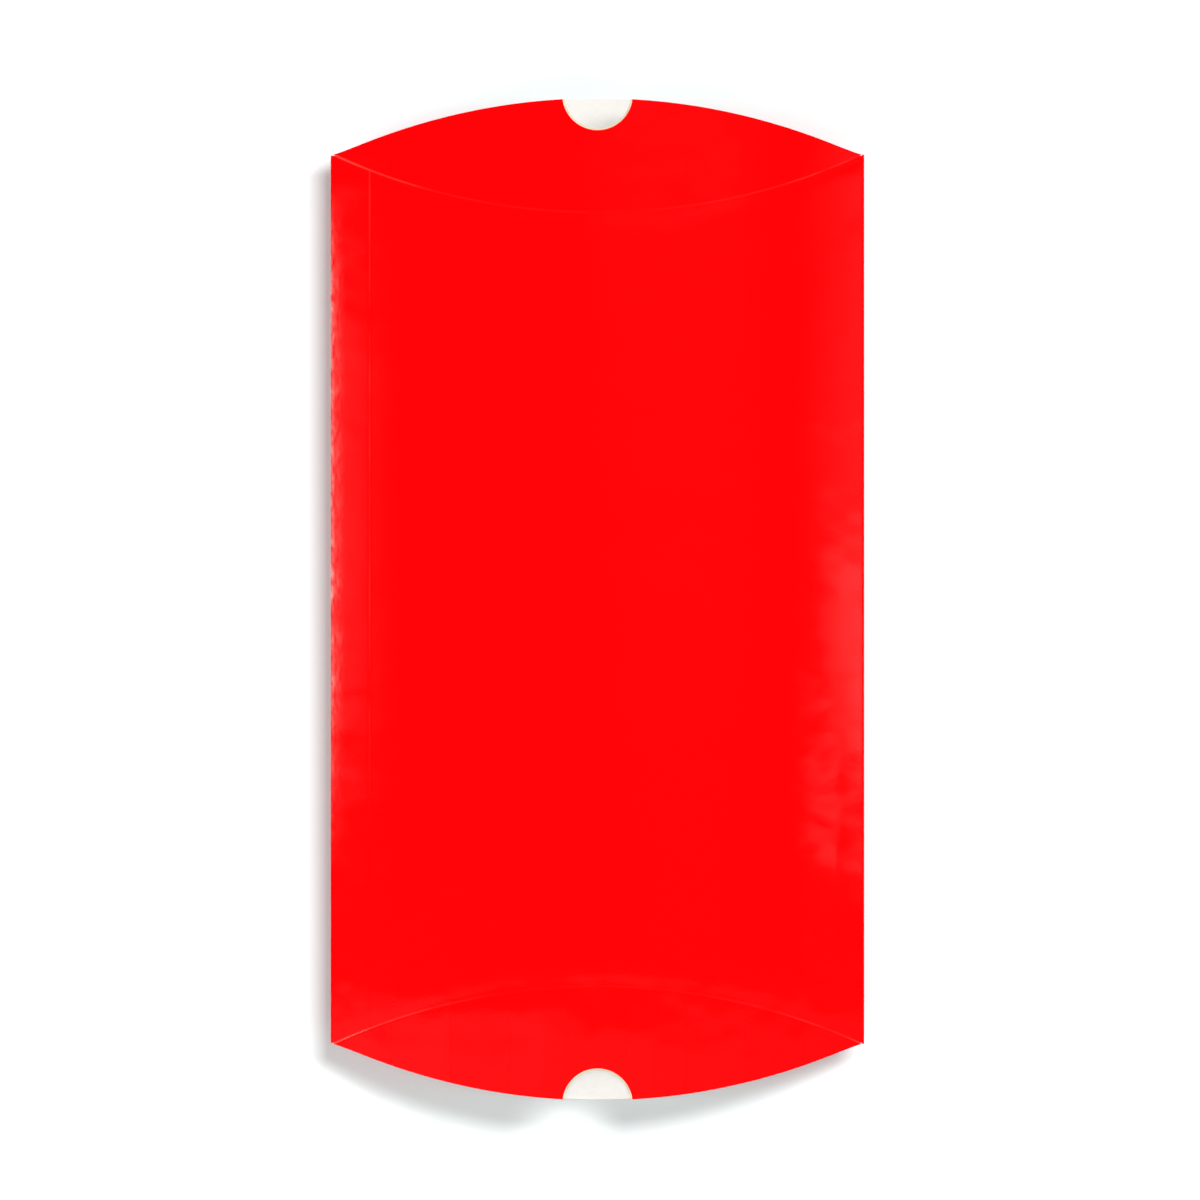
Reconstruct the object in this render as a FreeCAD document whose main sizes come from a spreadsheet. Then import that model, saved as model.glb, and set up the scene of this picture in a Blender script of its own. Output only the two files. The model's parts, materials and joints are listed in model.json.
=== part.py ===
import FreeCAD
import Part
import os

# Pillow box of folding boxboard, popped open, with its four end flaps standing straight out.
# X runs across the box, Y along it (+Y is the upper end), Z up from the surface it lies on.
# Front and back panels are two equal arcs of board that meet at the long side edges. Each end
# has an outer flap on the front panel, with a thumb notch, and an inner flap on the back panel.
# A flap hangs on its panel by a curved crease, so it can only fold by bending. Each flap is
# therefore cut into strips along the board's bending lines, and each strip is hinged on its
# own stretch of the crease.

DRIVING_SIZES = {
    "box_width": 113.0,
    "side_length": 190.0,
    "bulge": 12.4,
    "board": 0.45,
    "glue_flap_width": 7.1,
    "glue_film": 0.1,
    "glue_seat": 0.03,
    "glue_end_gap": 1.5,
    "notch_diameter": 15.0,
    "notch_depth": 6.8,
    "centre_strip_width": 12.6,
    "strip_slit": 0.12,
    "slit_flare": 1.05,
    "crease_gap": 0.1,
    "flap_setback": 0.45,
    "inner_flap_relief": 6.0,
    "overrun": 4.0,
}
STRIPS_EACH_SIDE = 4

document = FreeCAD.newDocument("PillowBox")
sheet = document.addObject("Spreadsheet::Sheet", "Sizes")
for row, (alias, value) in enumerate(DRIVING_SIZES.items(), start=1):
    sheet.set(f"A{row}", alias)
    sheet.set(f"B{row}", str(value))
    sheet.setAlias(f"B{row}", alias)
document.recompute()

# Sizes worked out from the driving ones, as expressions on the sheet's cells.
HALF_WIDTH = "Sizes.box_width / 2"
CORNER_Y = "Sizes.side_length / 2"
ARC_RADIUS = "((Sizes.box_width / 2)^2 + Sizes.bulge^2) / (2 * Sizes.bulge)"
ARC_TO_CHORD = f"({ARC_RADIUS} - Sizes.bulge)"
MID_HEIGHT = "(Sizes.bulge + Sizes.board)"
EDGE_SLOPE = f"asin({HALF_WIDTH} / ({ARC_RADIUS}))"
FOLD_RADIUS = f"(Sizes.board / cos({EDGE_SLOPE}))"
GLUE_LAYER = "(Sizes.glue_film + 2 * Sizes.glue_seat)"
GLUE_DROP = f"({GLUE_LAYER} / cos({EDGE_SLOPE}))"
FOLD_INSET = f"(({FOLD_RADIUS} + {GLUE_DROP}) / (2 * tan({EDGE_SLOPE})))"
FLAP_TIP_Y = f"({CORNER_Y} + Sizes.bulge)"
CUT_LENGTH = f"(2 * ({FLAP_TIP_Y} + Sizes.overrun))"
CUT_HEIGHT = f"(2 * ({MID_HEIGHT} + Sizes.overrun))"
SIDE_STRIP_WIDTH = f"(({HALF_WIDTH} - Sizes.centre_strip_width / 2) / {STRIPS_EACH_SIDE})"
ALONG_Y = FreeCAD.Rotation(FreeCAD.Vector(1, 0, 0), -90)
FRONT, BACK = 1, -1
TOP, BOTTOM = 1, -1
pieces = []


def bind(item, **expressions):
    """Ties an object's sizes and place to the sheet; x, y and z stand for its Placement."""
    for name, expression in expressions.items():
        target = f"Placement.Base.{name}" if name in "xyz" else name
        item.setExpression(target, expression)
    return item


def make(kind, name, **expressions):
    return bind(document.addObject(kind, name), **expressions)


def boolean(kind, name, base, tool):
    result = document.addObject(f"Part::{kind}", name)
    result.Base = base
    result.Tool = tool
    return result


def piece(item, label):
    """Marks a finished piece: its Label names its file."""
    item.Label = label
    pieces.append(item)
    return item


def round_bar_along_y(name, radius, height, **places):
    """A cylinder along the box, as long as every cut needs."""
    bar = make("Part::Cylinder", name, Radius=radius, Height=CUT_LENGTH)
    bar.Placement.Rotation = ALONG_Y
    return bind(bar, y=f"-({CUT_LENGTH}) / 2", z=height, **places)


def bent_board(name, side, inner_radius, thickness):
    """A tube of board bent to the panels' arc; side says whether it arches up or down."""
    centre = f"{MID_HEIGHT} - ({side}) * {ARC_TO_CHORD}"
    outside = round_bar_along_y(f"{name}_outside", f"{inner_radius} + {thickness}", centre)
    inside = round_bar_along_y(f"{name}_inside", inner_radius, centre)
    return boolean("Cut", name, outside, inside)


def span_box(name, side, left, right):
    """A box over one half of the box's height, from x = left to x = right."""
    bottom = MID_HEIGHT if side == FRONT else f"({MID_HEIGHT} - {CUT_HEIGHT} / 2)"
    return make(
        "Part::Box",
        name,
        Length=f"({right}) - ({left})",
        Width=CUT_LENGTH,
        Height=f"{CUT_HEIGHT} / 2",
        x=left,
        y=f"-({CUT_LENGTH}) / 2",
        z=bottom,
    )


def plan_disc(name, end, centre_y, radius):
    """An upright round cutter for the curves that the plan view shows, at one end of the box."""
    return make(
        "Part::Cylinder",
        name,
        Radius=radius,
        Height=CUT_HEIGHT,
        y=f"({end}) * ({centre_y})",
        z=f"{MID_HEIGHT} - {CUT_HEIGHT} / 2",
    )


def end_name(end):
    return "top" if end == TOP else "bottom"


# The curved crease at an end is an arc whose centre lies beyond that end.
CREASE_CENTRE_Y = f"({CORNER_Y} + {ARC_TO_CHORD})"
RIM_CENTRE_Y = f"({CORNER_Y} - {ARC_TO_CHORD})"
crease_cutters = {
    end: plan_disc(f"{end_name(end)}_crease", end, CREASE_CENTRE_Y, ARC_RADIUS)
    for end in (TOP, BOTTOM)
}
boards = {
    side: bent_board(f"{name}_board", side, f"({ARC_RADIUS})", "Sizes.board")
    for side, name in ((FRONT, "front"), (BACK, "back"))
}


def cut_ends(item, label, cutters):
    """Cuts both ends of a piece of the sleeve to a curve."""
    for end in (TOP, BOTTOM):
        item = boolean("Cut", f"{label}_{end_name(end)}_end", item, cutters[end])
    return item


def panel(label, side, left, right):
    """A main panel: the bent board between the side edges and the two curved creases."""
    box = span_box(f"{label}_box", side, left, right)
    span = boolean("Common", f"{label}_span", boards[side], box)
    return piece(cut_ends(span, label, crease_cutters), label)


# The front panel's raw left edge laps over the fold below it, as far out as the right-hand fold.
panel("front_panel", FRONT, f"-({HALF_WIDTH} + {FOLD_RADIUS})", HALF_WIDTH)
panel("back_panel", BACK, f"-{HALF_WIDTH} + {FOLD_INSET}", HALF_WIDTH)


def side_fold(name, axis_x, axis_z, turn):
    """The rounded fold along a side edge: half a round bar of the board's thickness."""
    bar = make(
        "Part::Cylinder",
        name,
        Radius=FOLD_RADIUS,
        Height="Sizes.side_length",
        x=axis_x,
        y=f"-{CORNER_Y}",
        z=axis_z,
    )
    bar.Angle = 180
    bar.Placement.Rotation = ALONG_Y.multiply(FreeCAD.Rotation(FreeCAD.Vector(0, 0, 1), turn))
    return bar


piece(side_fold("right_fold_bar", HALF_WIDTH, MID_HEIGHT, -90), "right_side_fold")

# The glue flap starts at a fold set in from the left side edge. It lies under the front panel
# and stops short of the creases, so that the folded end flaps pass it.
GLUE_SIDE_X = f"(-{HALF_WIDTH} + {FOLD_INSET})"
INSET_DROP = f"({FOLD_INSET} * tan({EDGE_SLOPE}))"
glue_end_cutters = {
    end: plan_disc(f"{end_name(end)}_glue_end", end, CREASE_CENTRE_Y, f"{ARC_RADIUS} + Sizes.glue_end_gap")
    for end in (TOP, BOTTOM)
}
left_bar = side_fold("left_fold_bar", GLUE_SIDE_X, f"{MID_HEIGHT} - {INSET_DROP}", 90)
piece(cut_ends(left_bar, "left_fold", glue_end_cutters), "left_side_fold")


def inner_layer(label, outer_radius, thickness):
    """A strip of board or glue bent against the inside of the front panel, at its left edge."""
    layer = bent_board(f"{label}_layer", FRONT, f"({outer_radius} - {thickness})", thickness)
    box = make(
        "Part::Box",
        f"{label}_box",
        Length="Sizes.glue_flap_width",
        Width=CUT_LENGTH,
        Height=CUT_HEIGHT,
        x=GLUE_SIDE_X,
        y=f"-({CUT_LENGTH}) / 2",
        z=f"{MID_HEIGHT} - {CUT_HEIGHT} / 2",
    )
    strip = boolean("Common", f"{label}_strip", layer, box)
    return piece(cut_ends(strip, label, glue_end_cutters), label)


inner_layer("glue_line", f"({ARC_RADIUS} - Sizes.glue_seat)", "Sizes.glue_film")
inner_layer("glue_flap", f"({ARC_RADIUS} - {GLUE_LAYER})", "Sizes.board")


def strip_wedge(name, end, left, right):
    """A trapezium in plan between two slits that flare from the crease to the flap's rim."""
    crease_y = f"({CORNER_Y} - Sizes.bulge - Sizes.overrun)"
    rim_y = f"({FLAP_TIP_Y} + Sizes.overrun)"
    narrow = "(Sizes.strip_slit / 2)"
    wide = "((Sizes.strip_slit + Sizes.slit_flare) / 2)"
    near, far = (narrow, wide) if end == TOP else (wide, narrow)
    bottom, top = f"{MID_HEIGHT} - {CUT_HEIGHT} / 2", f"{MID_HEIGHT} + {CUT_HEIGHT} / 2"
    return make(
        "Part::Wedge",
        name,
        Ymin=crease_y if end == TOP else f"-{rim_y}",
        Ymax=rim_y if end == TOP else f"-{crease_y}",
        Xmin=f"{left} + {near}",
        Xmax=f"{right} - {near}",
        X2min=f"{left} + {far}",
        X2max=f"{right} - {far}",
        Zmin=bottom,
        Zmax=top,
        Z2min=bottom,
        Z2max=top,
    )


def strip_spans():
    """Each strip's name and its two sides, from the centre strip out to both corners."""
    half_centre = "Sizes.centre_strip_width / 2"
    yield "centre", f"-{half_centre}", half_centre
    for number in range(STRIPS_EACH_SIDE):
        near = f"({half_centre} + {number} * {SIDE_STRIP_WIDTH})"
        far = f"({half_centre} + {number + 1} * {SIDE_STRIP_WIDTH})"
        yield f"left_{number + 1}", f"-{far}", f"-{near}"
        yield f"right_{number + 1}", near, far


def flap_blank(label, end, side):
    """The whole flap: the board beyond the crease, trimmed to its rim; outer flaps are notched."""
    beyond = plan_disc(f"{label}_root", end, CREASE_CENTRE_Y, f"{ARC_RADIUS} - Sizes.crease_gap")
    rim = plan_disc(f"{label}_rim", end, f"{RIM_CENTRE_Y} - Sizes.flap_setback", ARC_RADIUS)
    relief = "Sizes.strip_slit" if side == FRONT else "Sizes.inner_flap_relief"
    limit = f"({HALF_WIDTH} - {relief})"
    span = span_box(f"{label}_span", side, f"-{limit}", limit)
    blank = boolean("Common", f"{label}_on_board", boards[side], span)
    blank = boolean("Common", f"{label}_past_crease", blank, beyond)
    blank = boolean("Common", f"{label}_blank", blank, rim)
    if side == BACK:
        return blank
    rim_y = f"({FLAP_TIP_Y} - Sizes.flap_setback)"
    notch_y = f"{rim_y} - Sizes.notch_depth + Sizes.notch_diameter / 2"
    notch = plan_disc(f"{label}_notch", end, notch_y, "Sizes.notch_diameter / 2")
    return boolean("Cut", f"{label}_notched", blank, notch)


def flap(label, end, side):
    """One end flap, cut into its strips."""
    blank = flap_blank(label, end, side)
    for name, left, right in strip_spans():
        wedge = strip_wedge(f"{label}_{name}_wedge", end, left, right)
        strip = boolean("Common", f"{label}_{name}_strip", blank, wedge)
        piece(strip, f"{label}_{name}")


for flap_end in (TOP, BOTTOM):
    flap(f"{end_name(flap_end)}_outer_flap", flap_end, FRONT)
    flap(f"{end_name(flap_end)}_inner_flap", flap_end, BACK)

document.recompute()
broken = [item.Label for item in document.Objects if {"Invalid", "Error"} & set(item.State)]
broken += [item.Label for item in pieces if item.Shape.isNull() or not item.Shape.isValid()]
if broken:
    raise RuntimeError(f"these objects failed: {broken}")

os.makedirs("parts", exist_ok=True)
for item in pieces:
    item.Shape.exportStep(f"parts/{item.Label}.step")
    print(f"{item.Label}: {len(item.Shape.Solids)} solid, {item.Shape.Volume:.2f} mm3")
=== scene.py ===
"""A glossy red pillow box, popped open, lying on a pale floor with its end flaps straight out."""

import json
import logging
import math
from collections.abc import Iterator
from dataclasses import dataclass, field
from enum import IntEnum

import bpy
import numpy as np
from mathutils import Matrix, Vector

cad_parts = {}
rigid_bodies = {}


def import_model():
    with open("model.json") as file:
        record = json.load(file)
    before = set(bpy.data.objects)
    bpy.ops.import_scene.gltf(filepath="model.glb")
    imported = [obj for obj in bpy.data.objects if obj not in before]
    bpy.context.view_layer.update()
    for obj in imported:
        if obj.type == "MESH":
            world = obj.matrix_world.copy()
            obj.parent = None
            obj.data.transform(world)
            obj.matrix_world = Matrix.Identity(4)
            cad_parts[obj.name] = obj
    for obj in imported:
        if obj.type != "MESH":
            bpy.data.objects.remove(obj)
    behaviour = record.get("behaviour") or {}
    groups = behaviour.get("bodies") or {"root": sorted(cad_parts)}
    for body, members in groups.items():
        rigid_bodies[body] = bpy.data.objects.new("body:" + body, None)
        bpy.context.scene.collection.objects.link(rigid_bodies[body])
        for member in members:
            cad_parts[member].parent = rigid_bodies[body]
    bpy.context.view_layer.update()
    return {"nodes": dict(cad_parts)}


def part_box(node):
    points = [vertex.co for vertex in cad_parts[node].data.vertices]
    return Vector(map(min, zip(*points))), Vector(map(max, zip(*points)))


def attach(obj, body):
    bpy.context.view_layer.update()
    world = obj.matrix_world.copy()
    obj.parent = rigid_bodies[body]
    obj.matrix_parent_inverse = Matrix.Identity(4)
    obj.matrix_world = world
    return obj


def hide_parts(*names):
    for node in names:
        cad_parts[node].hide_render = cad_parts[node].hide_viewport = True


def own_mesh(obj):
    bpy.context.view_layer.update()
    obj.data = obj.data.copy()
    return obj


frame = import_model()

LOG = logging.getLogger("pillow_box")
# Point attribute holding the share of pale paint along the creases and the seam: partly rubbed print,
# partly a painted highlight.
RUB_AND_HIGHLIGHT_ATTRIBUTE = "crease_rub"
SHARP_ANGLE = math.radians(40.0)
Array = np.ndarray


def mm(value: float) -> float:
    """Turns millimetres into metres."""
    return value / 1000.0


def linear(hex_colour: str) -> tuple[float, float, float, float]:
    """Turns an sRGB hex colour into the linear colour that sockets take.

    Args:
        hex_colour: six hex digits, with or without a leading hash.

    Returns:
        Red, green, blue and an alpha of one.
    """
    digits = hex_colour.lstrip("#")
    srgb = np.array([int(digits[start : start + 2], 16) for start in (0, 2, 4)]) / 255.0
    straight = np.where(srgb <= 0.04045, srgb / 12.92, ((srgb + 0.055) / 1.055) ** 2.4)
    return (*(float(channel) for channel in straight), 1.0)


def add_node(tree: bpy.types.NodeTree, kind: str, inputs: dict, **settings) -> bpy.types.Node:
    """Adds one node with its options and sockets.

    Args:
        tree: the node tree that gets it.
        kind: the node's type name.
        inputs: socket name or number to a value, or to an output socket that is linked to it.
        settings: the node's own options.

    Returns:
        The new node.
    """
    node = tree.nodes.new(kind)
    for name, value in settings.items():
        setattr(node, name, value)
    for name, value in inputs.items():
        if isinstance(value, bpy.types.NodeSocket):
            tree.links.new(value, node.inputs[name])
        else:
            node.inputs[name].default_value = value
    return node


class Side(IntEnum):
    """Which panel a sheet belongs to; the value is its sign along Z."""

    FRONT = 1
    BACK = -1


class End(IntEnum):
    """Which end of the box a flap is at; the value is its sign along Y."""

    TOP = 1
    BOTTOM = -1


class Face(IntEnum):
    """The three faces of the board; the value is the material's place on a piece."""

    COATED = 0
    LINING = 1
    CUT_EDGE = 2


@dataclass(frozen=True)
class BoxForm:
    """The bowed form of the box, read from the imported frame.

    Both panels are arcs about lines along Y, and the creases and rims are arcs of the same radius
    in plan.
    """

    half_width: float
    corner_y: float
    mid_height: float
    fold_radius: float
    board: float = mm(0.45)
    rim_setback: float = mm(0.45)
    setback_fade: float = mm(1.1)

    @classmethod
    def from_frame(cls) -> "BoxForm":
        """Reads the form from the right-hand fold and the front panel."""
        fold_low, fold_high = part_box("right_side_fold")
        panel_low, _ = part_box("front_panel")
        return cls(fold_low[0], fold_high[1], panel_low[2], fold_high[0] - fold_low[0])

    @property
    def bulge(self) -> float:
        """Rise of a panel's inner face over the line between the side edges."""
        return self.mid_height - self.board

    @property
    def radius(self) -> float:
        """Radius of the arc with this bulge over this half width."""
        return (self.half_width**2 + self.bulge**2) / (2.0 * self.bulge)

    def rise(self, across: Array, offset: float | Array = 0.0) -> Array:
        """Height of the bent board over the middle plane.

        The height is the root of (radius + offset) squared less x squared, less the distance from
        the arc's centre to the middle plane.

        Args:
            across: places along X.
            offset: distance out of the board's inner face.

        Returns:
            Heights, the same shape as across.
        """
        reach = np.maximum((self.radius + offset) ** 2 - across**2, 0.0)
        return np.sqrt(reach) - (self.radius - self.bulge)

    def crease_y(self, across: Array) -> Array:
        """Distance of the curved crease from the middle: the corner's, less the rise."""
        return self.corner_y - self.rise(across)

    def rim_y(self, across: Array) -> Array:
        """Distance of a flap's rim from the middle: the corner's, plus the rise, less a setback.

        The setback dies away at the corners, as the exponential of the rise over a fade length.
        """
        rise = self.rise(across)
        setback = self.rim_setback * (1.0 - np.exp(-np.maximum(rise, 0.0) / self.setback_fade))
        return self.corner_y + rise - setback


@dataclass
class SheetGrid:
    """A piece of board as two faces over one grid of columns along X and rows along Y.

    Each face is an array of columns by rows by three. The ring round a column runs over the coated
    face, round the far edge, back over the lining and round the near edge.
    """

    coated: Array
    lining: Array
    near_nose: Array | None = None
    far_nose: Array | None = None
    near_edge: Face = Face.COATED
    far_edge: Face = Face.COATED
    left_edge: Face = Face.COATED
    right_edge: Face = Face.COATED
    # Share of pale paint at each point of the coated face: partly rubbed print, partly a painted
    # highlight.
    rub_and_highlight: Array | None = None

    def ring(self) -> Array:
        """Joins the faces and noses into one closed ring per column."""
        none = np.zeros((self.coated.shape[0], 0, 3))
        far = none if self.far_nose is None else self.far_nose
        near = none if self.near_nose is None else self.near_nose
        return np.concatenate([self.coated, far, self.lining[:, ::-1], near], axis=1)

    def quads(self) -> tuple[Array, Array]:
        """Works out the faces of the ring and of its two ends.

        Returns:
            Corner numbers, four to a face, and each face's place in the material list.
        """
        columns, rows = self.coated.shape[:2]
        count = self.ring().shape[1]
        numbers = np.arange(columns * count).reshape(columns, count)
        turned = np.roll(numbers, -1, axis=1)
        sides = np.stack([numbers[:-1], numbers[1:], turned[1:], turned[:-1]], axis=-1)
        far_noses = self.noses(self.far_nose)
        finish = np.full(count, int(self.near_edge))
        finish[: rows - 1] = Face.COATED
        finish[rows - 1 : rows + far_noses] = int(self.far_edge)
        finish[rows + far_noses : 2 * rows + far_noses - 1] = Face.LINING
        back = numbers[:, rows + far_noses : 2 * rows + far_noses][:, ::-1]
        front = numbers[:, :rows]
        left = np.stack([front[0, :-1], front[0, 1:], back[0, 1:], back[0, :-1]], axis=-1)
        right = np.stack([front[-1, 1:], front[-1, :-1], back[-1, :-1], back[-1, 1:]], axis=-1)
        corners = np.concatenate([sides.reshape(-1, 4), left, right])
        places = np.concatenate(
            [
                np.tile(finish, columns - 1),
                np.full(rows - 1, int(self.left_edge)),
                np.full(rows - 1, int(self.right_edge)),
            ]
        )
        return corners, places

    @staticmethod
    def noses(nose: Array | None) -> int:
        """Number of points in a nose."""
        return 0 if nose is None else nose.shape[1]

    def nose_caps(self) -> list[list[int]]:
        """Closes both ends of each nose with one face."""
        columns, rows = self.coated.shape[:2]
        count = self.ring().shape[1]
        caps = []
        far = self.noses(self.far_nose)
        if far:
            caps.append(list(range(rows - 1, rows + far + 1)))
        if self.noses(self.near_nose):
            caps.append([*range(2 * rows + far - 1, count), 0])
        last = (columns - 1) * count
        return [cap[::-1] for cap in caps] + [[last + number for number in cap] for cap in caps]


def build_sheet(name: str, grid: SheetGrid, materials: list[bpy.types.Material]) -> bpy.types.Object:
    """Makes a closed, smooth-shaded piece of board from its grid.

    Args:
        name: the piece's name.
        grid: its two faces and edges.
        materials: coated face, lining and cut edge, in the order of Face.

    Returns:
        The new object, at the origin.
    """
    points = grid.ring().reshape(-1, 3)
    corners, places = grid.quads()
    caps = grid.nose_caps()
    first, second, third, fourth = (points[corners[:, corner]] for corner in range(4))
    volume = np.einsum("ij,ij->", first, np.cross(second, third) + np.cross(third, fourth))
    faces = corners.tolist() + caps
    if volume < 0.0:
        faces = [face[::-1] for face in faces]
    mesh = bpy.data.meshes.new(name)
    mesh.from_pydata(points, [], faces)
    for material in materials:
        mesh.materials.append(material)
    all_places = np.concatenate([places, np.full(len(caps), int(Face.COATED))]).astype(np.int32)
    mesh.polygons.foreach_set("material_index", all_places)
    mesh.shade_smooth()
    mesh.set_sharp_from_angle(angle=SHARP_ANGLE)
    # Stores the share of pale paint at each point: partly rubbed print, partly a painted highlight.
    rub_and_highlight = mesh.attributes.new(RUB_AND_HIGHLIGHT_ATTRIBUTE, "FLOAT", "POINT")
    shares = np.zeros(points.shape[0])
    if grid.rub_and_highlight is not None:
        full = np.zeros(grid.ring().shape[:2])
        full[:, : grid.rub_and_highlight.shape[1]] = grid.rub_and_highlight
        shares = full.ravel()
    rub_and_highlight.data.foreach_set("value", shares.astype(np.float32))
    mesh.update()
    piece = bpy.data.objects.new(name, mesh)
    bpy.context.scene.collection.objects.link(piece)
    return piece


@dataclass(frozen=True)
class GlossCoatedBoard:
    """Folding boxboard with a red print under a clear gloss film, rolled on in the press.

    The film gives sharp reflections over a deep, even colour. The board under it is not quite flat,
    so the edges of a reflection wander. Along the creases and the glued seam the colour is painted
    pale, partly as rubbed print and partly as a painted highlight of the pressed lines. Along the raw
    left edge it is painted pale, partly as chipped print and partly as a painted highlight of the
    rounded edge. The fibre under it is drawn coarser than it is, since the real one wouldn't show.
    """

    name: str = "red_gloss_film_on_boxboard"
    print_red: str = "#DA0003"
    deep_red: str = "#D00002"
    # Pale red of the creases and the seam: partly rubbed print, partly a painted highlight.
    rubbed_and_highlit_red: str = "#FF5B52"
    # Pale pink of the raw edge: partly chipped print showing board, partly a painted highlight of the
    # rounded edge.
    chip_and_highlight_pink: str = "#F7A79E"
    roughness: float = 0.34
    film_weight: float = 0.55
    film_roughness: float = 0.065
    film_ior: float = 1.49
    cloud_size: float = mm(28.0)
    cockle_size: float = mm(20.0)
    cockle_depth: float = mm(0.18)
    fibre_size: float = mm(0.9)
    fibre_depth: float = mm(0.004)
    # Noise and strength of the pale crease and seam lines: partly rubbed print, partly a painted
    # highlight.
    rub_and_highlight_size: float = mm(9.0)
    rub_and_highlight_range: tuple[float, float] = (0.25, 0.7)
    rub_and_highlight_most: float = 0.9
    # Noise, bands and fades of the pale raw edge: partly chipped print, partly a painted highlight,
    # which is most of the narrow band.
    chip_and_highlight_size: float = mm(7.0)
    chip_and_highlight_range: tuple[float, float] = (0.25, 0.75)
    chip_and_highlight_bands: tuple[tuple[float, float], ...] = ((mm(3.6), 0.17), (mm(1.1), 0.44))
    chip_and_highlight_fades: tuple[tuple[float, float], ...] = ((mm(90.0), mm(62.0)), (mm(-60.0), mm(-4.0)))
    speck_size: float = mm(0.7)
    speck_stretch: tuple[float, float, float] = (1.0, 0.3, 1.0)
    speck_range: tuple[float, float] = (0.30, 0.70)
    speck_most: float = 1.6

    def build(self, raw_edge_x: float) -> bpy.types.Material:
        """Makes the material.

        Args:
            raw_edge_x: place along X of the front panel's raw edge, where the colour is painted pale,
            partly as chipped print and partly as a painted highlight of the rounded edge.

        Returns:
            The material.
        """
        material = bpy.data.materials.new(self.name)
        material.use_nodes = True
        tree = material.node_tree
        place = add_node(tree, "ShaderNodeTexCoord", {}).outputs["Object"]
        clouds = add_node(tree, "ShaderNodeTexNoise", {"Vector": place, "Scale": 1.0 / self.cloud_size})
        ink = add_node(
            tree,
            "ShaderNodeMix",
            {0: clouds.outputs["Fac"], 6: linear(self.print_red), 7: linear(self.deep_red)},
            data_type="RGBA",
        )
        # Pale creases and seam: partly rubbed print, partly a painted highlight.
        rubbed_and_highlit = self.rubbed_and_highlit_share(tree, place)
        worn = add_node(
            tree,
            "ShaderNodeMix",
            {0: rubbed_and_highlit, 6: ink.outputs[2], 7: linear(self.rubbed_and_highlit_red)},
            data_type="RGBA",
        )
        # Pale raw edge: partly chipped print, partly a painted highlight of the rounded edge.
        chipped_and_highlit = self.chipped_and_highlit_share(tree, place, raw_edge_x)
        colour = add_node(
            tree,
            "ShaderNodeMix",
            {0: chipped_and_highlit, 6: worn.outputs[2], 7: linear(self.chip_and_highlight_pink)},
            data_type="RGBA",
        )
        shader = tree.nodes["Principled BSDF"]
        tree.links.new(colour.outputs[2], shader.inputs["Base Color"])
        uneven = self.unevenness(tree, place)
        tree.links.new(uneven, shader.inputs["Normal"])
        tree.links.new(uneven, shader.inputs["Coat Normal"])
        shader.inputs["Roughness"].default_value = self.roughness
        shader.inputs["Specular IOR Level"].default_value = 0.0
        shader.inputs["Coat Weight"].default_value = self.film_weight
        shader.inputs["Coat Roughness"].default_value = self.film_roughness
        shader.inputs["Coat IOR"].default_value = self.film_ior
        return material

    def rubbed_and_highlit_share(
        self, tree: bpy.types.NodeTree, place: bpy.types.NodeSocket
    ) -> bpy.types.NodeSocket:
        """How pale the creases and the seam are painted, broken up by noise: partly rubbed print and
        partly a painted highlight of the pressed lines.

        Args:
            tree: the material's nodes.
            place: Object coordinates.

        Returns:
            A share, which is none away from the creases and the seam.
        """
        patches = add_node(
            tree,
            "ShaderNodeTexNoise",
            {"Vector": place, "Scale": 1.0 / self.rub_and_highlight_size, "Detail": 4.0},
        )
        low, high = self.rub_and_highlight_range
        patchy = add_node(
            tree,
            "ShaderNodeMapRange",
            {
                "Value": patches.outputs["Fac"],
                "From Min": low,
                "From Max": high,
                "To Max": self.rub_and_highlight_most,
            },
        )
        near = add_node(tree, "ShaderNodeAttribute", {}, attribute_name=RUB_AND_HIGHLIGHT_ATTRIBUTE)
        rubbed_and_highlit = add_node(
            tree,
            "ShaderNodeMath",
            {0: near.outputs["Fac"], 1: patchy.outputs["Result"]},
            operation="MULTIPLY",
        )
        return rubbed_and_highlit.outputs["Value"]

    def chipped_and_highlit_share(
        self, tree: bpy.types.NodeTree, place: bpy.types.NodeSocket, raw_edge_x: float
    ) -> bpy.types.NodeSocket:
        """Where the raw edge is painted pale: partly print chipped off, partly a painted highlight of
        the rounded edge, which is most of the narrow band.

        Each band is a smooth fall from the edge, times two fades along it, coarse flakes and specks
        drawn out along the edge. The bands are added up.

        Args:
            tree: the material's nodes.
            place: Object coordinates.
            raw_edge_x: place of the edge along X.

        Returns:
            A share, which is one where the edge is painted fully pale.
        """
        spot = add_node(tree, "ShaderNodeSeparateXYZ", {"Vector": place})
        upper, lower = (
            add_node(
                tree,
                "ShaderNodeMapRange",
                {"Value": spot.outputs["Y"], "From Min": none, "From Max": full},
                interpolation_type="SMOOTHSTEP",
            ).outputs["Result"]
            for none, full in self.chip_and_highlight_fades
        )
        flakes = add_node(
            tree,
            "ShaderNodeTexNoise",
            {"Vector": place, "Scale": 1.0 / self.chip_and_highlight_size, "Detail": 5.0},
        )
        low, high = self.chip_and_highlight_range
        patchy = add_node(
            tree,
            "ShaderNodeMapRange",
            {"Value": flakes.outputs["Fac"], "From Min": low, "From Max": high},
        )
        drawn = add_node(tree, "ShaderNodeMapping", {"Vector": place, "Scale": self.speck_stretch})
        specks = add_node(
            tree,
            "ShaderNodeTexNoise",
            {"Vector": drawn.outputs["Vector"], "Scale": 1.0 / self.speck_size, "Detail": 4.0},
        )
        low, high = self.speck_range
        mottled = add_node(
            tree,
            "ShaderNodeMapRange",
            {
                "Value": specks.outputs["Fac"],
                "From Min": low,
                "From Max": high,
                "To Max": self.speck_most,
            },
        )
        bands = []
        for reach, strength in self.chip_and_highlight_bands:
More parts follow.
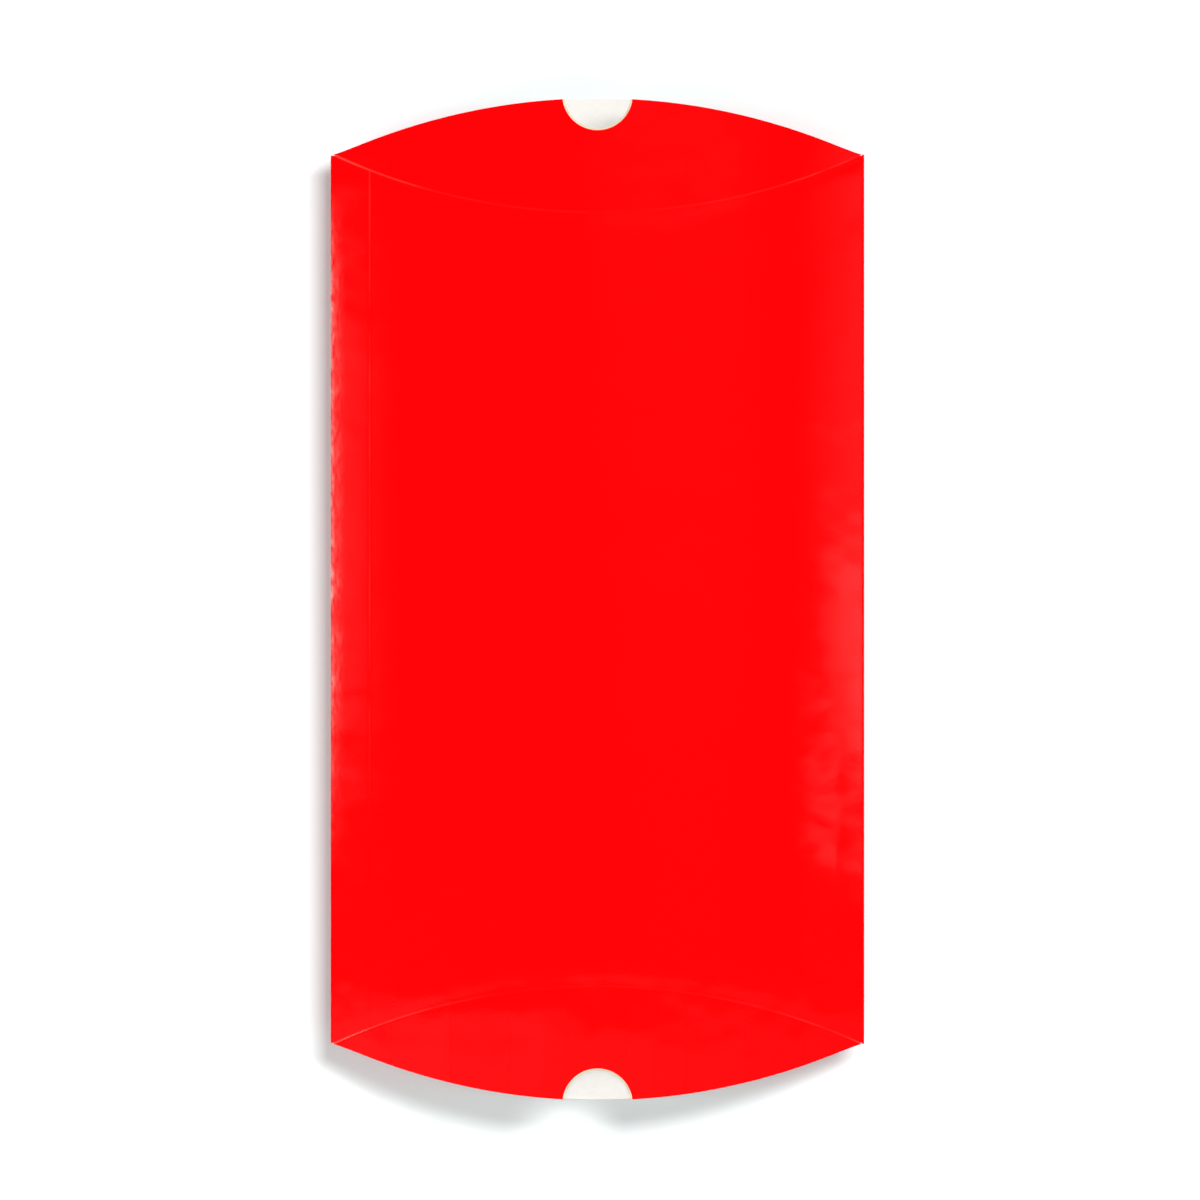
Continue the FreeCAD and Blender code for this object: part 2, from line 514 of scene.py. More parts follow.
            close = add_node(
                tree,
                "ShaderNodeMapRange",
                {
                    "Value": spot.outputs["X"],
                    "From Min": raw_edge_x,
                    "From Max": raw_edge_x + reach,
                    "To Min": strength,
                    "To Max": 0.0,
                },
                interpolation_type="SMOOTHERSTEP",
            )
            band = close.outputs["Result"]
            for part in (upper, lower, patchy.outputs["Result"], mottled.outputs["Result"]):
                product = add_node(tree, "ShaderNodeMath", {0: band, 1: part}, operation="MULTIPLY")
                band = product.outputs["Value"]
            bands.append(band)
        share = bands[0]
        for band in bands[1:]:
            total = add_node(tree, "ShaderNodeMath", {0: share, 1: band}, operation="ADD")
            share = total.outputs["Value"]
        return share

    def unevenness(
        self, tree: bpy.types.NodeTree, place: bpy.types.NodeSocket
    ) -> bpy.types.NodeSocket:
        """Bumps the surface with the board's slow cockle and its fine fibre.

        Args:
            tree: the material's nodes.
            place: Object coordinates.

        Returns:
            The bumped normal.
        """
        cockle = add_node(
            tree,
            "ShaderNodeTexNoise",
            {"Vector": place, "Scale": 1.0 / self.cockle_size, "Detail": 2.0},
        )
        slow = add_node(
            tree,
            "ShaderNodeBump",
            {"Height": cockle.outputs["Fac"], "Strength": 1.0, "Distance": self.cockle_depth},
        )
        fibre = add_node(
            tree,
            "ShaderNodeTexNoise",
            {"Vector": place, "Scale": 1.0 / self.fibre_size, "Detail": 3.0},
        )
        fine = add_node(
            tree,
            "ShaderNodeBump",
            {
                "Height": fibre.outputs["Fac"],
                "Strength": 1.0,
                "Distance": self.fibre_depth,
                "Normal": slow.outputs["Normal"],
            },
        )
        return fine.outputs["Normal"]


@dataclass(frozen=True)
class PlainBoard:
    """Board without a coat: the white lining, or the paler layers that a cut shows.

    Pressed fibre scatters all light, so it is matt, a little mottled and has a fine tooth, which is
    drawn coarser than it is, since the real one wouldn't show.
    """

    name: str
    light: str
    dark: str
    mottle_size: float = mm(1.2)
    fibre_size: float = mm(0.35)
    tooth_depth: float = mm(0.02)
    tooth_strength: float = 0.6
    roughness: float = 0.82
    specular: float = 0.3

    def build(self) -> bpy.types.Material:
        """Makes the material."""
        material = bpy.data.materials.new(self.name)
        material.use_nodes = True
        tree = material.node_tree
        place = add_node(tree, "ShaderNodeTexCoord", {}).outputs["Object"]
        mottle = add_node(
            tree,
            "ShaderNodeTexNoise",
            {"Vector": place, "Scale": 1.0 / self.mottle_size, "Detail": 6.0},
        )
        colour = add_node(
            tree,
            "ShaderNodeMix",
            {0: mottle.outputs["Fac"], 6: linear(self.light), 7: linear(self.dark)},
            data_type="RGBA",
        )
        fibre = add_node(
            tree,
            "ShaderNodeTexNoise",
            {"Vector": place, "Scale": 1.0 / self.fibre_size, "Detail": 2.0},
        )
        tooth = add_node(
            tree,
            "ShaderNodeBump",
            {
                "Height": fibre.outputs["Fac"],
                "Strength": self.tooth_strength,
                "Distance": self.tooth_depth,
            },
        )
        shader = tree.nodes["Principled BSDF"]
        tree.links.new(colour.outputs[2], shader.inputs["Base Color"])
        tree.links.new(tooth.outputs["Normal"], shader.inputs["Normal"])
        shader.inputs["Roughness"].default_value = self.roughness
        shader.inputs["Specular IOR Level"].default_value = self.specular
        return material


# Bleached board without a film, which gives a warm, matt white.
UNCOATED_LINING = PlainBoard("uncoated_white_lining", "#E9E6E2", "#DFDBD6")
# Board sheared by the die, which lays its creamy inner layers bare.
CUT_BOARD_EDGE = PlainBoard("die_cut_board_edge", "#D9CDB4", "#CABB9C", mottle_size=mm(0.5))
# Dispersion glue rolled on and dried, which is smoother than board and a little yellow.
DRIED_GLUE = PlainBoard("dried_dispersion_glue", "#E6DEC8", "#D3C7A6", roughness=0.45)
# Heavy paper off a roll, which is an even, matt white.
STUDIO_PAPER = PlainBoard(
    "white_studio_paper", "#E3E8E8", "#E1E6E6", mottle_size=mm(40.0), fibre_size=mm(2.0)
)


@dataclass(frozen=True)
class Crease:
    """The line that the creasing rule presses into the coated face, and the roll of board beside it."""

    depth: float = mm(0.012)
    half_width: float = mm(0.22)
    roll_depth: float = mm(0.042)
    roll_width: float = mm(2.4)
    # Width of the pale line along the crease: partly rubbed print, partly a painted highlight.
    rub_and_highlight_half_width: float = mm(0.14)
    middle_share: float = 0.04
    corner_power: float = 4.0
    right_share: float = 0.85
    corner_roll: float = 0.3

    def corner_share(self, across: Array, half_width: float) -> Array:
        """How near a place is to a corner: none in the middle, one at the left and less at the right."""
        return np.where(across < 0.0, -across, across * self.right_share) / half_width

    def sharpness(self, corner_share: Array) -> Array:
        """How crisp the crease is: a little in the middle, rising as a power towards the corners."""
        return self.middle_share + (1.0 - self.middle_share) * corner_share**self.corner_power

    def dip(self, distance: Array, corner_share: Array) -> Array:
        """Depth of the pressed line: a bell curve of the distance from the crease, crisp at the corners.

        Args:
            distance: distances from the crease.
            corner_share: places along X, from none in the middle to one at a corner.

        Returns:
            Depths, the same shape as distance.
        """
        return self.depth * np.exp(-((distance / self.half_width) ** 2)) * self.sharpness(corner_share)

    def roll(self, distance: Array, corner_share: Array) -> Array:
        """Drop of a panel that rolls over into its crease: a wider bell curve, shallower at the corners.

        Args:
            distance: distances from the crease.
            corner_share: places along X, from none in the middle to one at a corner.

        Returns:
            Drops, the same shape as distance.
        """
        depth = self.roll_depth * (1.0 - self.corner_roll * corner_share**2)
        return depth * np.exp(-((distance / self.roll_width) ** 2))

    def rub_and_highlight(self, distance: Array, corner_share: Array) -> Array:
        """Share of pale paint, partly rubbed print and partly a painted highlight of the pressed line:
        a narrow bell curve, stronger towards the corners and weaker at the right, where the painted
        highlight is weaker.

        Args:
            distance: distances from the crease.
            corner_share: places along X, from none in the middle to one at a corner.

        Returns:
            Shares, the same shape as distance.
        """
        return np.exp(-((distance / self.rub_and_highlight_half_width) ** 2)) * self.sharpness(corner_share)


def crowded(low: float, high: float, count: int) -> Array:
    """Places from low to high that crowd at both ends, as the cosine of an even angle does."""
    return low + (high - low) * (1.0 - np.cos(np.linspace(0.0, math.pi, count))) / 2.0


@dataclass
class Sleeve:
    """The part of the box that stays still: both panels, the side folds and the glued seam."""

    form: BoxForm
    crease: Crease
    materials: list[bpy.types.Material]
    rows: int = 90
    columns: int = 150
    nose_points: int = 5
    seam_step: float = mm(0.05)
    seam_blur: float = mm(0.35)
    # Strength of the pale line over the glue flap's edge: partly rubbed print, partly a painted
    # highlight.
    seam_rub_and_highlight: float = 0.13
    seam_fade: tuple[float, float] = (mm(-52.0), mm(-18.0))
    seam_reach: float = mm(1.0)
    seam_columns: int = 25
    nose_start: float = math.radians(15.0)
    nose_scale: float = 0.9
    nose_lift: float = 0.06
    nose_flap: float = mm(1.5)
    fold_grid: tuple[int, int] = (13, 40)
    glue_flap_grid: tuple[int, int] = (20, 60)
    glue_gap: float = mm(0.16)
    corner_trim: float = mm(0.2)
    brink_share: float = 2e-5
    body: str = "sleeve"
    pieces: list[bpy.types.Object] = field(default_factory=list)

    def panel(self, side: Side) -> bpy.types.Object:
        """Builds one main panel.

        The plan grid runs from side edge to side edge and from crease to crease. Its height is the
        bent board's, less the crease's dip, and on the front plus a small step over the glue flap.
        Each end is a quarter-round nose that the folded flap uncovers, past a last row so close to
        the crease that the shading doesn't bend before it.

        Args:
            side: front or back.

        Returns:
            The panel.
        """
        form = self.form
        node = f"{side.name.lower()}_panel"
        low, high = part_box(node)
        seam_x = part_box("glue_flap")[1][0]
        seam = np.linspace(seam_x - self.seam_reach, seam_x + self.seam_reach, self.seam_columns)
        across = np.unique(np.concatenate([crowded(low[0], high[0], self.columns), seam]))
        ends = np.minimum(form.crease_y(across), form.corner_y - self.corner_trim)
        shares = np.sin(np.linspace(-1.0, 1.0, self.rows) * math.pi / 2.0)
        brink = 1.0 - self.brink_share
        along = ends[:, None] * np.concatenate([[-1.0, -brink], shares[1:-1], [brink, 1.0]])[None, :]
        distance = ends[:, None] - np.abs(along)
        corner_share = self.crease.corner_share(across, form.half_width)[:, None]
        raised = form.rise(across, form.board)[:, None] - self.crease.roll(distance, corner_share)
        raised = raised - self.crease.dip(distance, corner_share)
        # The crease share, and the seam share added below, are pale paint: partly rubbed print, partly a
        # painted highlight.
        rub_and_highlight = self.crease.rub_and_highlight(distance, corner_share)
        if side is Side.FRONT:
            step = self.seam_step / (1.0 + np.exp((across - seam_x) / (self.seam_blur / 2.0)))
            raised = raised + step[:, None]
            rub_and_highlight = rub_and_highlight + self.seam_line(across - seam_x, along)
        lined = np.broadcast_to(np.maximum(form.rise(across), 0.0)[:, None], along.shape)
        plan = np.broadcast_to(across[:, None], along.shape)
        coated = np.stack([plan, along, form.mid_height + side * raised], axis=-1)
        lining = np.stack([plan, along, form.mid_height + side * lined], axis=-1)
        grid = SheetGrid(
            coated,
            lining,
            near_nose=self.nose(coated[:, 0], lining[:, 0], End.BOTTOM)[:, ::-1],
            far_nose=self.nose(coated[:, -1], lining[:, -1], End.TOP),
            left_edge=Face.CUT_EDGE if side is Side.FRONT else Face.COATED,
            rub_and_highlight=rub_and_highlight,
        )
        return self.keep(build_sheet(f"{node}_sheet", grid, self.materials), node)

    def seam_line(self, distance: Array, along: Array) -> Array:
        """Share of pale paint over the glue flap's edge, partly rubbed print and partly a painted
        highlight: a bell curve that dies away lower down.

        Args:
            distance: distances of the columns from the edge, along X.
            along: places along Y, columns by rows.

        Returns:
            Shares, columns by rows.
        """
        none, full = self.seam_fade
        shown = np.clip((along - none) / (full - none), 0.0, 1.0)
        return self.seam_rub_and_highlight * shown * np.exp(-((distance / self.crease.rub_and_highlight_half_width) ** 2))[:, None]

    def nose(self, outer: Array, inner: Array, end: End) -> Array:
        """A quarter round about the board's inner edge, from the coated face out past the crease.

        A point is the cosine of its angle times the board's thickness, plus the sine times the
        reach, scaled down to stay inside the folded flap. The reach fades out towards the corners,
        where the flap is too short to cover it.

        Args:
            outer: the coated face's edge points.
            inner: the lining's edge points.
            end: which way the nose points.

        Returns:
            Columns by points by three, from the coated face to the lining.
        """
        thick = outer - inner
        flap = 2.0 * self.form.rise(outer[:, 0]) - self.form.rim_setback
        room = np.clip(flap / self.nose_flap, 0.0, 1.0)[:, None]
        outward = np.array([[0.0, float(end), 0.0]])
        reach = room * np.linalg.norm(thick, axis=1, keepdims=True) * outward
        angles = np.linspace(self.nose_start, math.pi / 2.0, self.nose_points)[None, :, None]
        arc = np.cos(angles) * thick[:, None] * self.nose_scale
        arc = arc + np.sin(angles) * reach[:, None] * self.nose_scale
        return inner[:, None] + arc + self.nose_lift * thick[:, None]

    def side_fold(self, node: str) -> bpy.types.Object:
        """Builds the rounded fold along a side edge: half a round bar as long as its node.

        Args:
            node: the fold's CAD node.

        Returns:
            The fold.
        """
        low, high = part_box(node)
        radius = (high[2] - low[2]) / 2.0
        facing = 1.0 if node.startswith("right") else -1.0
        axis_x = low[0] if facing > 0 else high[0]
        shape = self.fold_grid
        turn = np.linspace(-math.pi / 2.0, math.pi / 2.0, shape[0])
        along = np.linspace(low[1], high[1], shape[1])
        plan_x = np.broadcast_to((axis_x + facing * radius * np.cos(turn))[:, None], shape)
        height = np.broadcast_to(((low[2] + high[2]) / 2.0 + radius * np.sin(turn))[:, None], shape)
        plan_y = np.broadcast_to(along[None, :], shape)
        coated = np.stack([plan_x, plan_y, height], axis=-1)
        lining = np.stack([np.full(shape, axis_x), plan_y, height], axis=-1)
        grid = SheetGrid(coated, lining, near_edge=Face.CUT_EDGE, far_edge=Face.CUT_EDGE)
        return self.keep(build_sheet(f"{node}_sheet", grid, self.materials), node)

    def glue_flap(self) -> bpy.types.Object:
        """Builds the glue flap: a strip of bent board under the front panel's left edge.

        Its ends run along the creases, set back by what its node is, and its height is the bent
        board's, a gap below the front panel's inner face.

        Returns:
            The glue flap.
        """
        form = self.form
        low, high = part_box("glue_flap")
        columns, rows = self.glue_flap_grid
        across = crowded(low[0], high[0], columns)
        ends = form.crease_y(across) - (form.crease_y(np.array([low[0]])) - high[1])
        along = ends[:, None] * np.linspace(-1.0, 1.0, rows)[None, :]
        plan = np.broadcast_to(across[:, None], along.shape)
        heights = [
            np.broadcast_to((form.mid_height + form.rise(across, offset))[:, None], along.shape)
            for offset in (-self.glue_gap, -self.glue_gap - form.board)
        ]
        coated, lining = (np.stack([plan, along, height], axis=-1) for height in heights)
        grid = SheetGrid(
            coated, lining, near_edge=Face.CUT_EDGE, far_edge=Face.CUT_EDGE, right_edge=Face.CUT_EDGE
        )
        return self.keep(build_sheet("glue_flap_sheet", grid, self.materials), "glue_flap")

    def keep(self, piece: bpy.types.Object, node: str) -> bpy.types.Object:
        """Puts a piece in its node's place on the sleeve."""
        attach(piece, self.body)
        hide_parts(node)
        self.pieces.append(piece)
        return piece

    def build(self, glue: bpy.types.Material) -> list[bpy.types.Object]:
        """Builds the sleeve's pieces and dresses the glue line's node.

        Args:
            glue: the dried glue's material.

        Returns:
            The pieces.
        """
        for side in Side:
            self.panel(side)
        for node in ("right_side_fold", "left_side_fold"):
            self.side_fold(node)
        self.glue_flap()
        line = frame["nodes"]["glue_line"].data
        line.materials.clear()
        line.materials.append(glue)
        return self.pieces


@dataclass(frozen=True)
class Strip:
    """One strip of a flap, between two bending lines."""

    name: str
    left: float
    right: float
    left_meets: bool = True
    right_meets: bool = True

    def at_sides(self, count: int, at_left: float, at_right: float) -> Array:
        """Values for a strip's columns: one at each side that meets a neighbour, and none elsewhere."""
        values = np.zeros(count)
        values[0], values[-1] = at_left * self.left_meets, at_right * self.right_meets
        return values


@dataclass
class EndFlap:
    """One end flap: strips side by side, each on its own stretch of the curved crease."""

    form: BoxForm
    crease: Crease
    materials: list[bpy.types.Material]
    end: End
    side: Side
    centre_width: float = mm(12.6)
    strips_each_side: int = 4
    notch_radius: float = mm(7.5)
    notch_depth: float = mm(6.8)
    notch_burr: float = mm(0.4)
    outer_corner_gap: float = mm(0.12)
    inner_corner_cut: float = mm(6.0)
    side_gap: float = mm(0.018)
    side_lap: float = mm(0.14)
    side_hem: float = mm(0.025)
    lap_depth: float = mm(0.15)
    shortest: float = mm(0.02)
    folded_share: float = 0.2
    rows: int = 36
    columns: int = 22
    steep_columns: int = 61

    @property
    def label(self) -> str:
        """The flap's name, as its nodes and joints spell it."""
        layer = "outer" if self.side is Side.FRONT else "inner"
        return f"{self.end.name.lower()}_{layer}_flap"

    def strips(self) -> Iterator[Strip]:
        """Yields the centre strip, then those to its left and right out to the corners."""
        half = self.centre_width / 2.0
        width = (self.form.half_width - half) / self.strips_each_side
        corner = self.outer_corner_gap if self.side is Side.FRONT else self.inner_corner_cut
        limit = self.form.half_width - corner
        yield Strip("centre", -half, half)
        for number in range(1, self.strips_each_side + 1):
            near = half + (number - 1) * width
            far = min(half + number * width, limit)
            inside = number < self.strips_each_side
            yield Strip(f"left_{number}", -far, -near, left_meets=inside)
            yield Strip(f"right_{number}", near, far, right_meets=inside)

    def rim(self, across: Array, spread: float) -> Array:
        """Distance of the flap's edge from the middle.

        It is the rim's arc, or the thumb notch's circle where that bites deeper.

        Args:
            across: places along X.
            spread: how far the cut has pushed this face into the notch.

        Returns:
            Distances along Y, the same shape as across.
        """
        rim = self.form.rim_y(across)
        if self.side is Side.FRONT:
            apex = float(self.form.rim_y(np.zeros(1))[0])
            centre = apex - self.notch_depth + self.notch_radius
            radius = self.notch_radius - spread
            bite = centre - np.sqrt(np.maximum(radius**2 - across**2, 0.0))
            rim = np.where(np.abs(across) < radius, np.minimum(rim, bite), rim)
        return np.maximum(rim, self.form.crease_y(across) + self.shortest)

    def places_across(self, strip: Strip) -> Array:
        """Columns of a strip: its sides, and between narrow hems, crowded at the notch's steep ends."""
        low, high = strip.left + self.side_hem, strip.right - self.side_hem
        across = crowded(low, high, self.columns)
        if self.side is Side.FRONT and min(abs(strip.left), abs(strip.right)) < self.notch_radius:
            turn = np.linspace(-math.pi / 2.0, math.pi / 2.0, self.steep_columns)
            steep = self.notch_radius * np.sin(turn)
            across = np.unique(np.concatenate([across, steep[(steep > low) & (steep < high)]]))
        return np.concatenate([[strip.left], across, [strip.right]])

    def face(self, strip: Strip, face: Face) -> tuple[Array, Array]:
        """Works out one face of a strip.

        The plan grid runs between the strip's sides and from the crease to the rim. Its height is
        the bent board's, less the crease's dip on the coated face. The coated face stops a hair
        short of a neighbour, and the lining tapers into it, so that no light shows between them.

        Args:
            strip: its name and sides.
            face: coated face or lining.

        Returns:
            Columns by rows by three, and the distances from the crease.
        """
        form = self.form
        across = self.places_across(strip)
        if face is Face.COATED:
            across = across + strip.at_sides(across.size, self.side_gap, -self.side_gap)
            offset, spread = np.full(across.size, form.board), 0.0
        else:
            across = across + strip.at_sides(across.size, -self.side_lap, self.side_lap)
            offset, spread = strip.at_sides(across.size, self.lap_depth, self.lap_depth), self.notch_burr
        root = form.crease_y(across)
        distance = (self.rim(across, spread) - root)[:, None] * crowded(0.0, 1.0, self.rows)[None, :]
        height = np.broadcast_to(form.rise(across, offset)[:, None], distance.shape)
        if face is Face.COATED:
            corner_share = self.crease.corner_share(across, form.half_width)[:, None]
            height = height - self.crease.dip(distance, corner_share)
        plan = np.broadcast_to(across[:, None], distance.shape)
        along = self.end * (root[:, None] + distance)
        return np.stack([plan, along, form.mid_height + self.side * height], axis=-1), distance

    def strip_piece(self, strip: Strip) -> bpy.types.Object:
        """Builds one strip.

        Args:
            strip: its name and sides.

        Returns:
            The strip's piece.
        """
        coated, distance = self.face(strip, Face.COATED)
        lining, _ = self.face(strip, Face.LINING)
        # Pale paint along the crease: partly rubbed print, partly a painted highlight.
        rub_and_highlight = self.crease.rub_and_highlight(distance, self.crease.corner_share(coated[..., 0], self.form.half_width))
        grid = SheetGrid(coated, lining, far_edge=Face.CUT_EDGE, rub_and_highlight=rub_and_highlight)
        body = f"{self.label}_{strip.name}"
        piece = build_sheet(f"{body}_sheet", grid, self.materials)
        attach(piece, body)
        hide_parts(body)
        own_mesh(piece)
        return piece

    def build(self) -> list[bpy.types.Object]:
        """Builds all the flap's strips."""
        return [self.strip_piece(strip) for strip in self.strips()]


@dataclass(frozen=True)
class SoftBox:
    """A rectangular studio light, aimed at a point.

    Flags keep a light off all but one flap, where only_on names that flap.
    """

    name: str
    place: tuple[float, float, float]
    aim: tuple[float, float, float]
    width: float
    height: float
    watts: float
    only_on: str = ""

    def build(self) -> bpy.types.Object:
        """Makes the light, facing its aim."""
        lamp = bpy.data.lights.new(self.name, "AREA")
        lamp.shape = "RECTANGLE"
        lamp.size = self.width
        lamp.size_y = self.height
        lamp.energy = self.watts
        light = bpy.data.objects.new(self.name, lamp)
        light.location = self.place
        facing = (Vector(self.aim) - Vector(self.place)).to_track_quat("-Z", "Y")
        light.rotation_euler = facing.to_euler()
        bpy.context.scene.collection.objects.link(light)
        if self.only_on:
            lit = bpy.data.collections.new(f"{self.name}_pieces")
            for piece in bpy.data.objects:
                if piece.name.startswith(self.only_on) and piece.name.endswith("_sheet"):
                    lit.objects.link(piece)
            light.light_linking.receiver_collection = lit
        return light


@dataclass(frozen=True)
class SideBank:
    """A broad graded light beside the box, which the bowed panel mirrors as a soft band.

    Its brightness is a power of the way from the edge nearest the zenith to the one nearest the
    floor, which is full past a ramp, times a smooth rise and fall along the box. The first edge may
    lean outwards towards the lower end, by a share of the light's height times a power of the way.
    """

    name: str
    facing: float
    zenith: tuple[float, float]
    along: tuple[float, float, float, float]
    glow: float
    power: float
    lean: float = 0.0
    ramp: float = 1.0
    bend: float = 1.0
    distance: float = 1.45
    edge_x: float = 0.05

    def build(self) -> bpy.types.Object:
        """Makes the light, at the middle of its zenith angles and as tall as their arc."""
        length = self.along[-1] - self.along[0]
        angle = math.radians(sum(self.zenith) / 2.0)
        tall = self.distance * math.radians(self.zenith[1] - self.zenith[0])
        foot = (self.facing * self.edge_x, self.along[0] + length / 2.0, 0.0)
        out = self.facing * self.distance * math.sin(angle)
        place = (foot[0] + out, foot[1], self.distance * math.cos(angle))
        light = SoftBox(self.name, place, foot, length, tall, math.pi * length * tall).build()
        self.grade(light.data, length)
        return light

    def grade(self, lamp: bpy.types.AreaLight, length: float) -> None:
        """Grades the light over its face.

        Args:
            lamp: the light's data.
            length: its length along the box.
        """
        lamp.use_nodes = True
        tree = lamp.node_tree
        face = add_node(tree, "ShaderNodeNewGeometry", {}).outputs["Parametric"]
        spot = add_node(tree, "ShaderNodeSeparateXYZ", {"Vector": face})
        shares = [(place - self.along[0]) / length for place in self.along]
        if self.facing < 0.0:
            shares = [1.0 - share for share in shares]
        down = add_node(
            tree,
            "ShaderNodeMath",
            {0: spot.outputs["X"], 1: -self.facing, 2: max(self.facing, 0.0)},
            operation="MULTIPLY_ADD",
        )
        bent = add_node(
            tree, "ShaderNodeMath", {0: down.outputs["Value"], 1: self.bend}, operation="POWER"
        )
        edge = add_node(
            tree,
            "ShaderNodeMath",
            {0: bent.outputs["Value"], 1: self.lean, 2: spot.outputs["Y"]},
            operation="MULTIPLY_ADD",
        )
        lowered = add_node(
            tree, "ShaderNodeMath", {0: 1.0, 1: edge.outputs["Value"]}, operation="SUBTRACT"
        )
        ramped = add_node(
            tree, "ShaderNodeMapRange", {"Value": lowered.outputs["Value"], "From Max": self.ramp}
        )
        glow = add_node(
            tree, "ShaderNodeMath", {0: ramped.outputs["Result"], 1: self.power}, operation="POWER"
        )
        for none, full in ((shares[0], shares[1]), (shares[3], shares[2])):
            fade = add_node(
                tree,
                "ShaderNodeMapRange",
                {"Value": spot.outputs["X"], "From Min": none, "From Max": full},
                interpolation_type="SMOOTHSTEP",
            )
            glow = add_node(
                tree,
                "ShaderNodeMath",
                {0: glow.outputs["Value"], 1: fade.outputs["Result"]},
                operation="MULTIPLY",
            )
        strength = add_node(
            tree, "ShaderNodeMath", {0: glow.outputs["Value"], 1: self.glow}, operation="MULTIPLY"
        )
        tree.links.new(strength.outputs["Value"], tree.nodes["Emission"].inputs["Strength"])


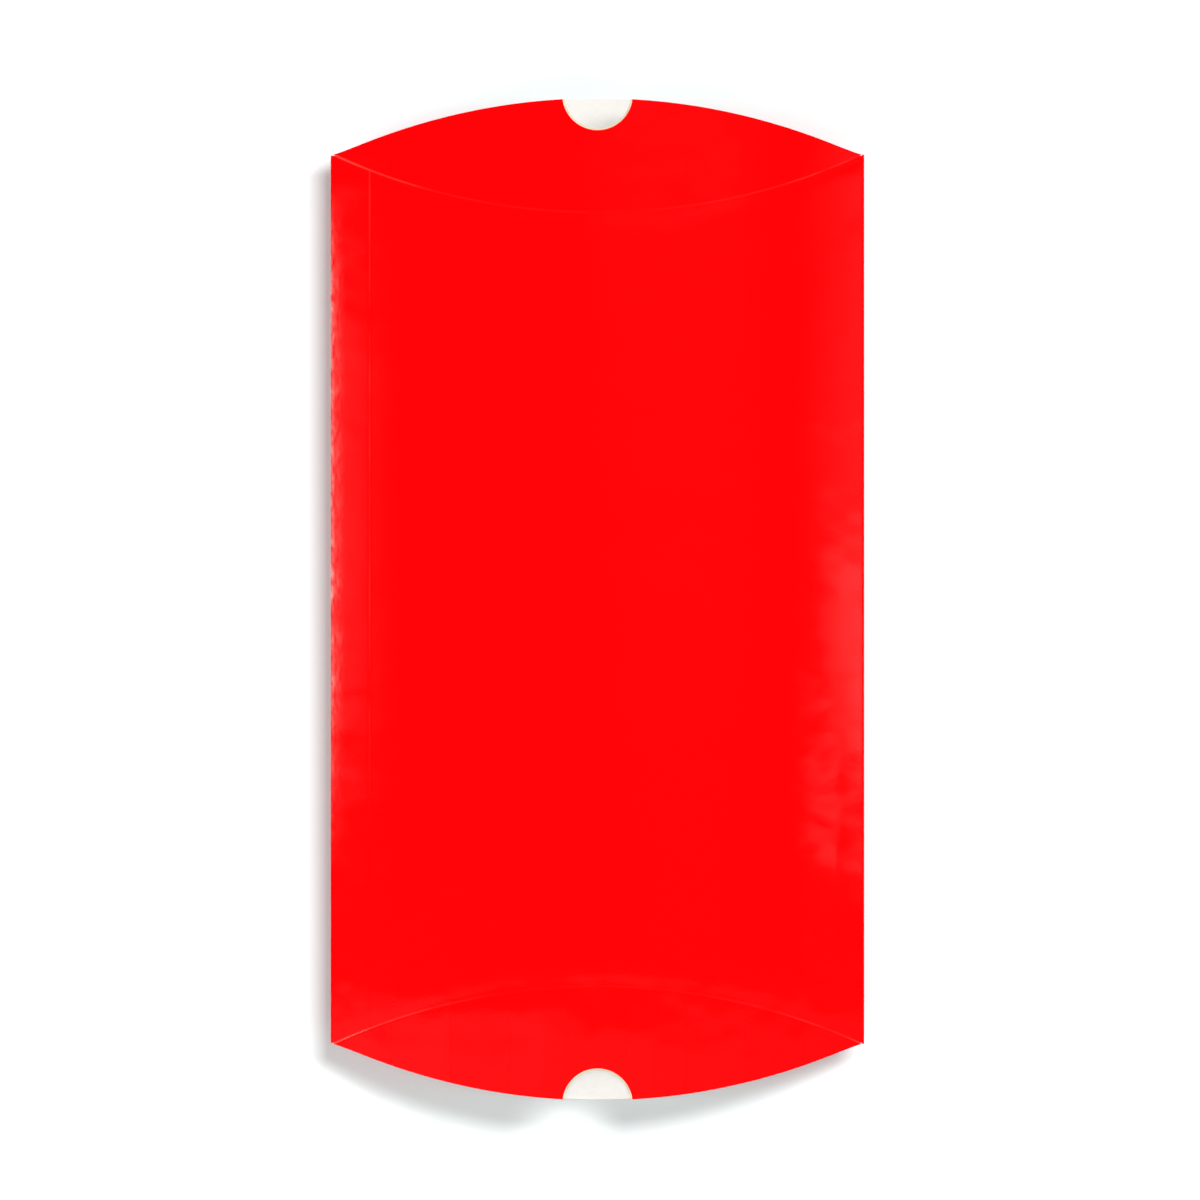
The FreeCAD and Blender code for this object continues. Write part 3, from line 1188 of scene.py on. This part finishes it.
@dataclass
class Studio:
    """The floor, the soft lights and the camera straight above."""

    form: BoxForm
    floor_half: float = 4.0
    sky_strength: float = 0.06
    sky_seen: float = 1.1
    camera_height: float = 12.0
    clip_heights: float = 8.0
    sensor: float = 36.0
    picture_pixels: float = 1200.0
    box_pixels: float = 533.5
    box_centre_pixels: tuple[float, float] = (597.5, 599.3)
    card_height: float = 0.35
    card_near_y: float = -0.093
    card_depth: float = 0.07
    card_reach: float = 0.47
    card_even_glow: float = 0.115
    card_left_glow: float = 0.30
    cards: int = 7
    lights: tuple[SoftBox, ...] = (
        SoftBox("key_upper_right", (0.535, 0.52, 1.90), (0.535, 0.0, 0.0), 0.95, 0.50, 48.5),
        SoftBox("fill_lower_left", (-0.90, -0.54, 1.35), (-0.90, 0.0, 0.0), 1.60, 0.68, 18.5),
        SoftBox("fill_lower_right", (0.85, -0.54, 1.35), (0.85, 0.0, 0.0), 1.70, 0.68, 5.5),
        SoftBox("notch_fill", (0.0, -0.1, 1.5), (0.0, -0.1, 0.0), 0.1, 0.1, 9.0, "bottom_inner_flap"),
    )
    banks: tuple[SideBank, ...] = (
        SideBank("left_band", -1.0, (35.0, 51.0), (-0.053, -0.016, 0.040, 0.105), 1.0, 2.0),
        SideBank("right_band", 1.0, (35.0, 51.0), (-0.020, 0.004, 0.098, 0.128), 0.43, 1.5),
        SideBank(
            "right_low_band",
            1.0,
            (36.5, 51.0),
            (-0.072, -0.024, -0.014, 0.030),
            1.65,
            1.0,
            lean=0.76,
            ramp=0.42,
        ),
        SideBank(
            "right_window",
            1.0,
            (35.0, 44.5),
            (-0.057, -0.052, -0.043, -0.034),
            1.35,
            1.0,
            lean=1.0,
            ramp=0.32,
            bend=2.5,
        ),
    )

    def lower_cards(self) -> Iterator[SoftBox]:
        """Yields a row of dim cards close over the lower flap, which mirrors them as a soft sheen.

        The sheen is the square of the distance from the right-hand end, over a small even part.
        """
        edges = np.linspace(-self.card_reach, self.card_reach, self.cards + 1)
        width = edges[1] - edges[0]
        place_y = self.card_near_y - self.card_depth / 2.0
        for number, left in enumerate(edges[:-1], start=1):
            middle = float(left + width / 2.0)
            share = (self.card_reach - middle) / (2.0 * self.card_reach)
            glow = self.card_even_glow + self.card_left_glow * share**2
            watts = glow * math.pi * width * self.card_depth
            place = (middle, place_y, self.card_height)
            spot = (middle, place_y, 0.0)
            yield SoftBox(f"lower_card_{number}", place, spot, width, self.card_depth, watts)

    def floor(self) -> bpy.types.Object:
        """A flat square of studio paper under the box."""
        reach = self.floor_half
        turns = ((-1.0, -1.0), (1.0, -1.0), (1.0, 1.0), (-1.0, 1.0))
        corners = [(across * reach, along * reach, 0.0) for across, along in turns]
        mesh = bpy.data.meshes.new("studio_floor")
        mesh.from_pydata(corners, [], [(0, 1, 2, 3)])
        mesh.materials.append(STUDIO_PAPER.build())
        floor = bpy.data.objects.new("studio_floor", mesh)
        bpy.context.scene.collection.objects.link(floor)
        return floor

    def sky(self) -> None:
        """A dim, even surround, which shows as white behind the floor's edge."""
        world = bpy.data.worlds.new("studio_surround")
        world.use_nodes = True
        tree = world.node_tree
        tree.nodes.clear()
        white = linear("#FFFFFF")
        seen = add_node(tree, "ShaderNodeBackground", {"Color": white, "Strength": self.sky_seen})
        felt = add_node(tree, "ShaderNodeBackground", {"Color": white, "Strength": self.sky_strength})
        path = add_node(tree, "ShaderNodeLightPath", {})
        mixed = add_node(
            tree,
            "ShaderNodeMixShader",
            {
                0: path.outputs["Is Camera Ray"],
                1: felt.outputs["Background"],
                2: seen.outputs["Background"],
            },
        )
        add_node(tree, "ShaderNodeOutputWorld", {"Surface": mixed.outputs["Shader"]})
        bpy.context.scene.world = world

    def camera(self) -> bpy.types.Object:
        """A long lens straight above, framed so that the box is as large as in the photograph.

        Returns:
            The camera, with +Y up in the picture.
        """
        pixel = 2.0 * (self.form.half_width + self.form.fold_radius) / self.box_pixels
        view = bpy.data.cameras.new("camera")
        view.sensor_width = self.sensor
        view.sensor_fit = "HORIZONTAL"
        clearance = self.camera_height - self.form.mid_height
        view.lens = self.sensor * clearance / (pixel * self.picture_pixels)
        view.clip_end = self.clip_heights * self.camera_height
        camera = bpy.data.objects.new("camera", view)
        middle = self.picture_pixels / 2.0
        right, down = (middle - centre for centre in self.box_centre_pixels)
        camera.location = (right * pixel, -down * pixel, self.camera_height)
        bpy.context.scene.collection.objects.link(camera)
        bpy.context.scene.camera = camera
        return camera

    def build(self) -> None:
        """Sets up the stage, with plain colours as the photograph has them."""
        self.floor()
        self.sky()
        for light in (*self.lights, *self.lower_cards(), *self.banks):
            light.build()
        self.camera()
        bpy.context.scene.view_settings.view_transform = "Standard"


def main() -> None:
    """Builds the box and its studio, and logs each piece and each flap's number of strips."""
    form = BoxForm.from_frame()
    crease = Crease()
    raw_edge_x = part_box("front_panel")[0][0]
    materials = [GlossCoatedBoard().build(raw_edge_x), UNCOATED_LINING.build(), CUT_BOARD_EDGE.build()]
    for piece in Sleeve(form, crease, materials).build(DRIED_GLUE.build()):
        LOG.info("built %s", piece.name)
    for end in End:
        for side in Side:
            flap = EndFlap(form, crease, materials, end, side)
            LOG.info("built %s in %d strips", flap.label, len(flap.build()))
    Studio(form).build()


if __name__ == "__main__":
    logging.basicConfig(level=logging.INFO)
    main()
